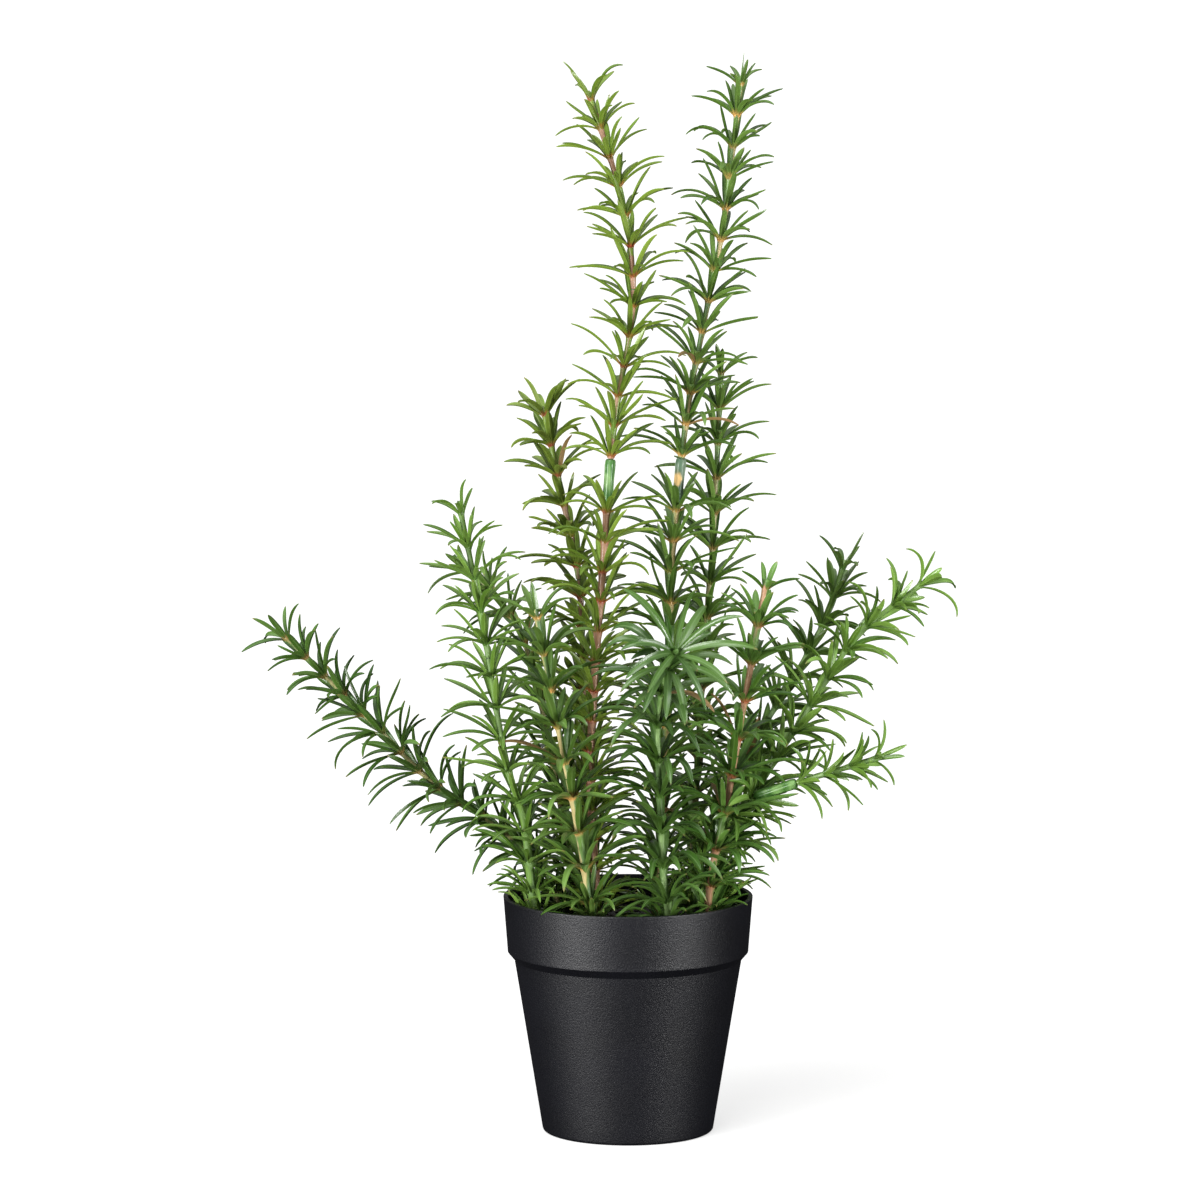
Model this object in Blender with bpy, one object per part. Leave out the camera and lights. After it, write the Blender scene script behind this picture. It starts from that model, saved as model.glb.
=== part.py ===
# Potted rosemary: 13 shoots of leafed tube sections on stem wires, set in a filled black pot.
# Metres, +Z up. The origin is the centre of the pot's flat underside, and the front faces -Y.

import math
import random

import bmesh
import bpy
from mathutils import Vector

# Pot
POT_HEIGHT = 0.1145
RIM_RADIUS = 0.0600
BAND_HEIGHT = 0.0268
BAND_FOOT_RADIUS = 0.0580
SHOULDER_RADIUS = 0.0547
SHOULDER_DROP = 0.0042
FOOT_RADIUS = 0.0413
FOOT_EDGE = 0.0018
LIP_EDGE = 0.0008
POT_WALL = 0.0022
POT_FLOOR = 0.0030
POT_SIDES = 40

# Fill
SOIL_TOP = 0.1000
SOIL_SIDES = 24
GAP = 0.0003

# Stems, all with the same number of flats
FLATS = 5
WIRE_RADIUS = 0.0011
BORE_RADIUS = 0.00155
TUBE_RADIUS = 0.00225
BUD_HEIGHT = 0.0035
SECTION_GAP = 0.0006
COLLAR_RADIUS = 0.0029
COLLAR_SIDES = 8
COLLAR_LENGTH = 0.0220
COLLAR_SPAN = 0.0270
LOWEST_WHORL = 0.1045
LOW_WHORL_SPACE = 0.0070
TUBE_FOOT = 0.1020

# Leaves
LEAF_WIDTH = 0.0034
LEAF_KEEL = 0.0009
LEAF_ROOT = 0.0012
LEAF_RISE = math.radians(38)
LEAF_SPREAD = math.radians(72)
LEAF_SWIRL = math.radians(17)
LEAF_ROOM = 0.0041
STEM_ROOM = 0.0046
POT_ROOM = 0.0024
LEAF_SAMPLES = 9

# Each shoot's route runs from inside the fill to its tip. internode is the distance between
# whorls, sections the number of leafed tubes, and collar the whorl, counted from the tip, that
# a thick sleeve follows.
SHOOTS = {
    "tall_left": {
        "route": (
            (-0.014, 0.002, 0.070), (-0.015, 0.001, 0.112), (-0.018, 0.000, 0.165),
            (-0.017, 0.000, 0.205), (-0.013, 0.000, 0.262), (-0.007, 0.002, 0.340),
            (0.001, 0.003, 0.388), (0.002, 0.003, 0.416), (-0.003, 0.003, 0.450),
            (-0.019, 0.004, 0.502),
        ),
        "internode": 0.0145, "leaf": 0.027, "sections": 4, "collar": 13, "hue": "yellow",
    },
    "tall_right": {
        "route": (
            (0.012, 0.014, 0.070), (0.014, 0.014, 0.115), (0.019, 0.014, 0.207),
            (0.021, 0.016, 0.275), (0.028, 0.017, 0.344), (0.036, 0.018, 0.388),
            (0.045, 0.019, 0.434), (0.051, 0.020, 0.482), (0.054, 0.020, 0.508),
        ),
        "internode": 0.0150, "leaf": 0.026, "sections": 4, "collar": 13, "hue": "dark",
    },
    "back_right": {
        "route": (
            (0.029, 0.029, 0.070), (0.031, 0.030, 0.122), (0.035, 0.035, 0.195),
            (0.037, 0.038, 0.233), (0.041, 0.040, 0.279), (0.045, 0.042, 0.367),
        ),
        "internode": 0.0170, "leaf": 0.028, "sections": 3, "collar": 0, "hue": "dark",
    },
    "mid_left": {
        "route": (
            (-0.020, 0.023, 0.070), (-0.021, 0.024, 0.123), (-0.022, 0.028, 0.230),
            (-0.024, 0.030, 0.265), (-0.030, 0.031, 0.296), (-0.041, 0.032, 0.348),
        ),
        "internode": 0.0150, "leaf": 0.025, "sections": 3, "collar": 0, "hue": "olive",
    },
    "front_left": {
        "route": (
            (-0.040, -0.010, 0.070), (-0.046, -0.018, 0.120), (-0.050, -0.026, 0.155),
            (-0.058, -0.032, 0.184), (-0.064, -0.038, 0.219), (-0.070, -0.042, 0.258),
            (-0.080, -0.045, 0.310),
        ),
        "internode": 0.0160, "leaf": 0.027, "sections": 3, "collar": 0, "hue": "bright",
    },
    "behind_left": {
        "route": (
            (-0.025, 0.013, 0.070), (-0.027, 0.012, 0.120), (-0.033, 0.010, 0.159),
            (-0.047, 0.008, 0.228), (-0.062, 0.008, 0.257), (-0.080, 0.008, 0.274),
        ),
        "internode": 0.0150, "leaf": 0.027, "sections": 2, "collar": 0, "hue": "dark",
    },
    "front_tan": {
        "route": (
            (-0.014, -0.027, 0.070), (-0.018, -0.032, 0.113), (-0.023, -0.038, 0.148),
            (-0.034, -0.048, 0.207), (-0.044, -0.052, 0.261),
        ),
        "internode": 0.0180, "leaf": 0.028, "sections": 2, "collar": 0, "hue": "dark",
    },
    "front_bent": {
        "route": (
            (0.016, -0.030, 0.070), (0.019, -0.034, 0.111), (0.017, -0.036, 0.128),
            (0.014, -0.043, 0.192), (0.015, -0.049, 0.216), (0.0185, -0.061, 0.2345),
            (0.0228, -0.079, 0.2455),
        ),
        "internode": 0.0175, "leaf": 0.029, "sections": 2, "collar": 0, "hue": "mid",
    },
    "pink_right": {
        "route": (
            (0.033, -0.013, 0.070), (0.038, -0.018, 0.110), (0.041, -0.021, 0.135),
            (0.048, -0.025, 0.169), (0.061, -0.028, 0.246), (0.066, -0.028, 0.272),
        ),
        "internode": 0.0185, "leaf": 0.028, "sections": 2, "collar": 0, "hue": "mid",
    },
    "arching_right": {
        "route": (
            (0.038, 0.006, 0.070), (0.042, 0.007, 0.111), (0.048, 0.006, 0.138),
            (0.060, 0.004, 0.162), (0.096, -0.003, 0.221), (0.111, -0.006, 0.243),
            (0.143, -0.008, 0.269),
        ),
        "internode": 0.0160, "leaf": 0.027, "sections": 2, "collar": 0, "hue": "bright",
    },
    "dark_right": {
        "route": (
            (0.038, 0.020, 0.070), (0.043, 0.018, 0.119), (0.053, 0.022, 0.162),
            (0.065, 0.026, 0.191), (0.092, 0.032, 0.237), (0.105, 0.034, 0.273),
        ),
        "internode": 0.0150, "leaf": 0.026, "sections": 2, "collar": 0, "hue": "dark",
    },
    "low_right": {
        "route": (
            (0.026, -0.001, 0.070), (0.031, -0.002, 0.113), (0.040, -0.008, 0.143),
            (0.056, -0.016, 0.162), (0.074, -0.024, 0.171), (0.122, -0.034, 0.188),
        ),
        "internode": 0.0130, "leaf": 0.024, "sections": 2, "collar": 4, "hue": "bright",
    },
    "low_left": {
        "route": (
            (-0.032, 0.003, 0.070), (-0.035, 0.002, 0.115), (-0.050, 0.000, 0.137),
            (-0.069, -0.004, 0.153), (-0.095, -0.008, 0.172), (-0.118, -0.012, 0.196),
            (-0.166, -0.016, 0.245),
        ),
        "internode": 0.0130, "leaf": 0.027, "sections": 2, "collar": 0, "hue": "mid",
    },
}

LEAF_GREENS = {
    "yellow": (0.16, 0.26, 0.05),
    "bright": (0.09, 0.24, 0.04),
    "mid": (0.06, 0.17, 0.05),
    "olive": (0.09, 0.15, 0.04),
    "dark": (0.035, 0.11, 0.04),
}


def clear_scene():
    for old in list(bpy.data.objects):
        bpy.data.objects.remove(old, do_unlink=True)


def material(name, colour, roughness):
    made = bpy.data.materials.get(name) or bpy.data.materials.new(name)
    made.use_nodes = True
    surface = made.node_tree.nodes["Principled BSDF"]
    surface.inputs["Base Color"].default_value = (*colour, 1.0)
    surface.inputs["Roughness"].default_value = roughness
    surface.inputs["Metallic"].default_value = 0.0
    return made


def add_object(name, bm, finish):
    bmesh.ops.recalc_face_normals(bm, faces=bm.faces)
    mesh = bpy.data.meshes.new(name)
    bm.to_mesh(mesh)
    bm.free()
    mesh.materials.append(finish)
    made = bpy.data.objects.new(name, mesh)
    bpy.context.scene.collection.objects.link(made)
    return made


# A turned profile is a list of (radius, height) that starts and ends on the axis.


def turned(profile, sides):
    bm = bmesh.new()
    line = [bm.verts.new((radius, 0.0, height)) for radius, height in profile]
    edges = [bm.edges.new(pair) for pair in zip(line, line[1:])]
    bmesh.ops.spin(
        bm, geom=line + edges, cent=(0, 0, 0), axis=(0, 0, 1),
        angle=math.tau, steps=sides, use_merge=True,
    )
    bmesh.ops.remove_doubles(bm, verts=bm.verts, dist=0.00001)
    return bm


def arc(centre, radius, start, end, steps):
    """Points of a round corner in a profile, with angles in degrees."""
    turns = [math.radians(start + (end - start) * i / steps) for i in range(steps + 1)]
    return [(centre[0] + radius * math.cos(t), centre[1] + radius * math.sin(t)) for t in turns]


def outer_radius(height):
    """The pot's outside below its band."""
    share = height / (POT_HEIGHT - BAND_HEIGHT - SHOULDER_DROP)
    return FOOT_RADIUS + (SHOULDER_RADIUS - FOOT_RADIUS) * share


def make_pot():
    band_foot = POT_HEIGHT - BAND_HEIGHT
    shoulder = band_foot - SHOULDER_DROP
    lip = (RIM_RADIUS - LIP_EDGE, POT_HEIGHT - LIP_EDGE)
    inner_lip = (RIM_RADIUS - POT_WALL + LIP_EDGE, POT_HEIGHT - LIP_EDGE)
    profile = [(0.0, 0.0)]
    profile += arc((FOOT_RADIUS - FOOT_EDGE, FOOT_EDGE), FOOT_EDGE, -90, -8, 3)
    profile += [(SHOULDER_RADIUS, shoulder), (BAND_FOOT_RADIUS, band_foot)]
    profile += arc(lip, LIP_EDGE, 0, 90, 2)
    profile += arc(inner_lip, LIP_EDGE, 90, 180, 2)
    profile += [(BAND_FOOT_RADIUS - POT_WALL, band_foot)]
    profile += [(SHOULDER_RADIUS - POT_WALL, shoulder)]
    profile += [(outer_radius(POT_FLOOR) - POT_WALL, POT_FLOOR), (0.0, POT_FLOOR)]
    pot = add_object("pot", turned(profile, POT_SIDES), material("pot", (0.012, 0.012, 0.013), 0.45))
    pot.data.shade_smooth()
    pot.data.set_sharp_from_angle(angle=math.radians(35))


# Routes


def smooth_route(points, step):
    """Points about a step apart along a Catmull-Rom curve through these."""
    knots = [Vector(p) for p in points]
    knots = [2 * knots[0] - knots[1], *knots, 2 * knots[-1] - knots[-2]]
    route = []
    for a, b, c, d in zip(knots, knots[1:], knots[2:], knots[3:]):
        count = max(2, round((c - b).length / step))
        for i in range(count):
            t = i / count
            route.append(
                0.5 * (2 * b + (c - a) * t + (2 * a - 5 * b + 4 * c - d) * t * t
                       + (3 * b - a - 3 * c + d) * t * t * t)
            )
    route.append(knots[-2])
    return route


def lengths_along(route):
    lengths = [0.0]
    for a, b in zip(route, route[1:]):
        lengths.append(lengths[-1] + (b - a).length)
    return lengths


def point_at(route, lengths, length):
    for i in range(1, len(route)):
        if length <= lengths[i] or i == len(route) - 1:
            share = (length - lengths[i - 1]) / (lengths[i] - lengths[i - 1])
            return route[i - 1].lerp(route[i], share)


def length_at_height(route, lengths, height):
    for i in range(1, len(route)):
        if route[i].z >= height:
            share = (height - route[i - 1].z) / (route[i].z - route[i - 1].z)
            return lengths[i - 1] + share * (lengths[i] - lengths[i - 1])


def plan_shoot(name, shoot):
    """Where a shoot's whorls and tube ends come, as lengths along its route."""
    route = smooth_route(shoot["route"], 0.002)
    lengths = lengths_along(route)
    lowest = length_at_height(route, lengths, LOWEST_WHORL)
    whorls = [lengths[-1] - BUD_HEIGHT]
    while True:
        span = COLLAR_SPAN if len(whorls) == shoot["collar"] else shoot["internode"]
        if whorls[-1] - span < lowest:
            break
        whorls.append(whorls[-1] - span)
    if whorls[-1] - lowest > LOW_WHORL_SPACE:
        whorls.append(lowest)
    whorls.reverse()

    count = len(whorls)
    first_of = {round(count * i / shoot["sections"]) for i in range(1, shoot["sections"])}
    if shoot["collar"]:
        collar_first = count - shoot["collar"]
        nearest = min(first_of, key=lambda first: abs(first - collar_first))
        first_of = first_of - {nearest} | {collar_first}
    firsts = [0, *sorted(first_of)]

    foot = length_at_height(route, lengths, TUBE_FOOT)
    sections = []
    collar = None
    for first, after in zip(firsts, [*firsts[1:], count]):
        start = foot
        if first:
            joint = (whorls[first - 1] + whorls[first]) / 2
            half = SECTION_GAP / 2
            if shoot["collar"] and first == count - shoot["collar"]:
                collar = (joint - COLLAR_LENGTH / 2, joint + COLLAR_LENGTH / 2)
                half += COLLAR_LENGTH / 2
            sections[-1]["end"] = joint - half
            start = joint + half
        sections.append({"start": start, "end": whorls[-1], "whorls": whorls[first:after]})

    in_fill = [0.0, foot / 3, foot * 2 / 3]
    stops = in_fill + whorls + [s["start"] for s in sections] + [s["end"] for s in sections]
    stops = sorted({*stops, *(collar or ())})
    return {
        "name": name, "shoot": shoot, "route": route, "whorls": whorls, "sections": sections,
        "collar": collar, "frames": carried_frames(route, lengths, stops),
    }


def carried_frames(route, lengths, stops):
    """For each stop its place, direction and two cross directions, carried without twist."""
    frames = {}
    across = Vector((1.0, 0.0, 0.0))
    for stop in stops:
        place = point_at(route, lengths, stop)
        before = point_at(route, lengths, max(stop - 0.003, 0.0))
        after = point_at(route, lengths, min(stop + 0.003, lengths[-1]))
        along = (after - before).normalized()
        across = (across - along * across.dot(along)).normalized()
        frames[stop] = (place, along, across, along.cross(across))
    return frames


def ring_points(frame, radius, sides, shift=0.0):
    """A regular ring across a stem, moved along it by shift."""
    place, along, across, beside = frame
    turns = [math.tau * i / sides for i in range(sides)]
    return [
        place + along * shift + radius * (across * math.cos(t) + beside * math.sin(t))
        for t in turns
    ]


def add_ring(bm, points):
    return [bm.verts.new(p) for p in points]


def join_rings(bm, first, second):
    sides = len(first)
    return [
        bm.faces.new((first[i], first[(i + 1) % sides], second[(i + 1) % sides], second[i]))
        for i in range(sides)
    ]


# Leaves


def leaf_line(frame, turn, length, rise, spread):
    """A leaf's root, middle and tip, its width direction and its underside direction."""
    place, along, across, beside = frame
    outward = across * math.cos(turn) + beside * math.sin(turn)
    first = along * math.cos(rise) + outward * math.sin(rise)
    second = along * math.cos(spread) + outward * math.sin(spread)
    root = place + outward * TUBE_RADIUS * 0.8
    middle = root + first * length * 0.5
    tip = middle + second * length * 0.5
    width = along.cross(outward).normalized()
    under = outward * math.cos(rise) - along * math.sin(rise)
    return {"root": root, "middle": middle, "tip": tip, "width": width, "under": under}


def leaf_points(leaf):
    """Points down a leaf's middle for the clearance test, without its root."""
    points = []
    for i in range(1, LEAF_SAMPLES + 1):
        t = 2 * i / LEAF_SAMPLES
        if t <= 1:
            points.append(leaf["root"].lerp(leaf["middle"], t))
        else:
            points.append(leaf["middle"].lerp(leaf["tip"], t - 1))
    return points


class Room:
    """Taken places, in a grid of cells, so that leaves of different tubes stay apart."""

    cell = 0.006
    around = [(i, j, k) for i in (-1, 0, 1) for j in (-1, 0, 1) for k in (-1, 0, 1)]

    def __init__(self):
        self.taken = {}

    def key(self, point):
        return tuple(math.floor(c / self.cell) for c in point)

    def add(self, points, owner, room):
        for point in points:
            self.taken.setdefault(self.key(point), []).append((point, owner, room))

    def near(self, point):
        x, y, z = self.key(point)
        for i, j, k in self.around:
            yield from self.taken.get((x + i, y + j, z + k), ())

    def is_clear(self, points, owners):
        """Whether these points keep their room to all that others than these owners took."""
        for point in points:
            for other, owner, room in self.near(point):
                if owner not in owners and (other - point).length < room:
                    return False
        return True


def clears_pot(points):
    for point in points:
        reach = math.hypot(point.x, point.y)
        if point.z < SOIL_TOP + POT_ROOM:
            return False
        beside_wall = RIM_RADIUS - POT_WALL - POT_ROOM < reach < RIM_RADIUS + POT_ROOM
        if point.z < POT_HEIGHT + POT_ROOM and beside_wall:
            return False
    return True


def fit_leaf(room, frame, turn, length, rise, spread, owners):
    """The leaf as wanted or, where another is in its way, the first lifted, lowered or shorter one."""
    for shorter in (1.0, 0.85, 0.7, 0.55):
        for lift in (0, -12, 12, -24, 22):
            change = math.radians(lift)
            leaf = leaf_line(frame, turn, length * shorter, rise + change * 0.4, spread + change)
            points = leaf_points(leaf)
            if clears_pot(points) and room.is_clear(points, owners):
                return leaf
    return None


def grow_leaf(bm, face, lower_ring, leaf):
    """Draws a leaf out of one flat of a tube: flat above, keeled below, ending in a point."""
    low = [vert.co.copy() for vert in lower_ring]
    drawn = bmesh.ops.extrude_discrete_faces(bm, faces=[face])["faces"][0]
    half = leaf["width"] * LEAF_WIDTH / 2
    keel = [v for v in drawn.verts if any((v.co - place).length < 0.00001 for place in low)]
    for vert in drawn.verts:
        to_right = (vert.co - leaf["root"]).dot(leaf["width"]) > 0
        vert.co = leaf["middle"] + (half if to_right else -half)
    bmesh.ops.pointmerge(bm, verts=keel, merge_co=leaf["middle"] + leaf["under"] * LEAF_KEEL)
    poked = bmesh.ops.poke(bm, faces=[drawn])
    poked["verts"][0].co = leaf["tip"]


def grow_whorl(bm, plan, room, chance, length, lower_ring, flats):
    """A leaf on each flat of the band round a whorl. Leaves near the tip are short and upright."""
    shoot = plan["shoot"]
    from_tip = plan["whorls"][::-1].index(length)
    young = max(0.0, 1 - from_tip / 2)
    way = 1 if from_tip % 2 else -1
    for i, face in enumerate(flats):
        turn = math.tau * (i + 0.5) / FLATS + LEAF_SWIRL * way + chance.uniform(-0.1, 0.1)
        size = shoot["leaf"] * (1 - 0.25 * young) * chance.uniform(0.92, 1.06)
        rise = LEAF_RISE * (1 - 0.5 * young) + math.radians(chance.uniform(-5, 5))
        spread = LEAF_SPREAD * (1 - 0.5 * young) + math.radians(chance.uniform(-9, 9))
        owners = (plan["name"] + " stem", (plan["name"], round(length, 5)))
        leaf = fit_leaf(room, plan["frames"][length], turn, size, rise, spread, owners)
        if leaf:
            room.add(leaf_points(leaf), owners[1], LEAF_ROOM)
            grow_leaf(bm, face, lower_ring, leaf)


def make_section(plan, number, room, chance, finish):
    """A tube with its leaves, bored for the wire. The top one is closed over the wire's end."""
    section = plan["sections"][number]
    is_top = number == len(plan["sections"]) - 1
    stops = [section["start"], *section["whorls"]]
    if not is_top:
        stops.append(section["end"])
    bm = bmesh.new()
    bore = [add_ring(bm, ring_points(plan["frames"][stop], BORE_RADIUS, FLATS)) for stop in stops[::-1]]
    for first, second in zip(bore, bore[1:]):
        join_rings(bm, first, second)
    last = add_ring(bm, ring_points(plan["frames"][stops[0]], TUBE_RADIUS, FLATS))
    join_rings(bm, bore[-1], last)

    bands = []
    for length in section["whorls"]:
        frame = plan["frames"][length]
        lower = add_ring(bm, ring_points(frame, TUBE_RADIUS, FLATS, -LEAF_ROOT / 2))
        upper = add_ring(bm, ring_points(frame, TUBE_RADIUS, FLATS, LEAF_ROOT / 2))
        join_rings(bm, last, lower)
        bands.append((length, lower, join_rings(bm, lower, upper)))
        last = upper
    if is_top:
        bm.faces.new(bore[0])
        place, along = plan["frames"][stops[-1]][:2]
        cap = bm.faces.new(last)
        point = bmesh.ops.poke(bm, faces=[cap])["verts"][0]
        point.co = place + along * BUD_HEIGHT
    else:
        end = add_ring(bm, ring_points(plan["frames"][stops[-1]], TUBE_RADIUS, FLATS))
        join_rings(bm, last, end)
        join_rings(bm, end, bore[0])
    for length, lower, flats in bands:
        grow_whorl(bm, plan, room, chance, length, lower, flats)
    add_object(f"sprig_{plan['name']}_{number + 1}", bm, finish)


def moved(frame, shift):
    place, along, across, beside = frame
    return place + along * shift, along, across, beside


def make_rod(name, frames, radius, finish):
    bm = bmesh.new()
    rings = [add_ring(bm, ring_points(frame, radius, FLATS)) for frame in frames]
    for first, second in zip(rings, rings[1:]):
        join_rings(bm, first, second)
    bm.faces.new(rings[0])
    bm.faces.new(rings[-1])
    return add_object(name, bm, finish)


def make_collar(plan, finish):
    """A thick sleeve round the wire between two leafed tubes."""
    bm = bmesh.new()
    ends = [plan["frames"][length] for length in plan["collar"]]
    inner = [add_ring(bm, ring_points(end, BORE_RADIUS * 1.08, COLLAR_SIDES)) for end in ends]
    outer = [add_ring(bm, ring_points(end, COLLAR_RADIUS, COLLAR_SIDES)) for end in ends]
    loop = [inner[1], inner[0], outer[0], outer[1], inner[1]]
    for first, second in zip(loop, loop[1:]):
        join_rings(bm, first, second)
    add_object(f"collar_{plan['name']}", bm, finish)


def wire_stops(plan):
    """The wire bends only where its tubes do, and ends a gap under the top tube's closed end."""
    return [stop for stop in plan["frames"] if stop < plan["whorls"][-1]]


def make_wire(plan, finish):
    frames = [plan["frames"][stop] for stop in wire_stops(plan)]
    frames.append(moved(plan["frames"][plan["whorls"][-1]], -GAP * 4))
    make_rod(f"stem_{plan['name']}", frames, WIRE_RADIUS, finish)


def make_soil(plans, finish):
    """The fill, a gap clear of the pot, with a hole for each wire."""
    wall = POT_WALL + GAP
    foot = POT_FLOOR + GAP
    shoulder = POT_HEIGHT - BAND_HEIGHT - SHOULDER_DROP
    band_foot = POT_HEIGHT - BAND_HEIGHT
    profile = [(0.0, foot), (outer_radius(foot) - wall - GAP, foot)]
    profile += [(SHOULDER_RADIUS - wall - GAP, shoulder), (BAND_FOOT_RADIUS - wall - GAP, band_foot)]
    profile += [(BAND_FOOT_RADIUS - wall, SOIL_TOP), (0.0, SOIL_TOP)]
    soil = add_object("soil", turned(profile, SOIL_SIDES), finish)

    cutters = bpy.data.collections.new("wire_holes")
    bpy.context.scene.collection.children.link(cutters)
    for plan in plans:
        frames = [plan["frames"][stop] for stop in wire_stops(plan)]
        frames = [frame for frame in frames if frame[0].z < SOIL_TOP + 0.02]
        frames.insert(0, moved(frames[0], -GAP))
        hole = make_rod(f"hole_{plan['name']}", frames, WIRE_RADIUS + GAP * 1.3, finish)
        bpy.context.scene.collection.objects.unlink(hole)
        cutters.objects.link(hole)
        hole.hide_render = True
        hole.display_type = "WIRE"
    cut = soil.modifiers.new("wire holes", "BOOLEAN")
    cut.operand_type = "COLLECTION"
    cut.collection = cutters
    cut.solver = "EXACT"


def main():
    clear_scene()
    make_pot()
    plans = [plan_shoot(name, shoot) for name, shoot in SHOOTS.items()]
    make_soil(plans, material("soil", (0.02, 0.016, 0.012), 0.95))
    room = Room()
    for plan in plans:
        above = [p for p in plan["route"] if p.z > SOIL_TOP]
        room.add(above, plan["name"] + " stem", STEM_ROOM)
    wire_finish = material("wire", (0.10, 0.16, 0.08), 0.5)
    collar_finish = material("collar", (0.05, 0.16, 0.04), 0.4)
    for order, plan in enumerate(plans):
        make_wire(plan, wire_finish)
        if plan["collar"]:
            make_collar(plan, collar_finish)
        hue = plan["shoot"]["hue"]
        leaf_finish = material("leaves_" + hue, LEAF_GREENS[hue], 0.4)
        chance = random.Random(100 + order)
        for number in range(len(plan["sections"])):
            make_section(plan, number, room, chance, leaf_finish)


main()
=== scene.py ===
import math
import random

import bmesh
import bpy
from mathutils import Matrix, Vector, noise


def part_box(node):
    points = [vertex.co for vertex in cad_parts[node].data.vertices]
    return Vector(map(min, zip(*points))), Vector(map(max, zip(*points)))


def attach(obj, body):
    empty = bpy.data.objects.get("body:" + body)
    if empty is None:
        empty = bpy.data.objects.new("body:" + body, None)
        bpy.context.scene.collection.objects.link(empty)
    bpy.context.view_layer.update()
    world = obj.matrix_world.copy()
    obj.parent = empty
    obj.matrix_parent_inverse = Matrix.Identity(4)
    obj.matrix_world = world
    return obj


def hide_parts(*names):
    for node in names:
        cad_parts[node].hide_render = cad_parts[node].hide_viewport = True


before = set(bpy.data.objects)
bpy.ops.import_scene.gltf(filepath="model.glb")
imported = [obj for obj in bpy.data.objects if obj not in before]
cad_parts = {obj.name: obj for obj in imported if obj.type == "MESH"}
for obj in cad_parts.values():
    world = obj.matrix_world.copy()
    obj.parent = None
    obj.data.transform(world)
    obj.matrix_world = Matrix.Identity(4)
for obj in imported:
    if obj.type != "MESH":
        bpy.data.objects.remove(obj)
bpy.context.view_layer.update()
print("frame loaded:", len(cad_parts), "CAD pieces")


# small helpers

def mixed(a, b, share):
    return a + (b - a) * share


def eased(low, high, value):
    share = min(max((value - low) / (high - low), 0.0), 1.0)
    return share * share * (3 - 2 * share)


def keepPiece(piece, slotName, *nodes):
    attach(piece, "root")
    if nodes:
        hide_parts(*nodes)


# Studio: camera, lights and floor

studio = {
    "lookAt": (-0.0135, 0.0, 0.258),        # metres, like every length here
    "camera": (-0.0135, -3.8, 0.79),
    "lens": 240.4,              # mm on a 36 mm sensor
    "floorColour": (0.42, 0.42, 0.418),
    "floorGlow": 0.62,
    "floorBounce": (0.22, 0.22, 0.22),      # its shade where it lights the leaves from below
    "floorInGloss": (0.008, 0.008, 0.008),  # and where it shows in their gloss
    "floorRadius": 30,
    "skyLow": 0.03,             # brightness at the horizon and overhead
    "skyHigh": 0.85,
    "sunStrength": 2.5,
    "sunSpread": 36,            # degrees, wide for soft shadows
    "sunPlace": (-0.7, -1.5, 2.4),
    "lightsAim": (0, 0, 0.2),
    "boxes": (                  # place, size, watts
        ((-1.38, -1.25, 0.17), (1.05, 0.32), 57),
        ((1.42, -1.18, 0.17), (0.70, 0.32), 38),
    ),
}


def aim(piece, target):
    away = Vector(target) - piece.location
    piece.rotation_euler = away.to_track_quat("-Z", "Y").to_euler()


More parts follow.
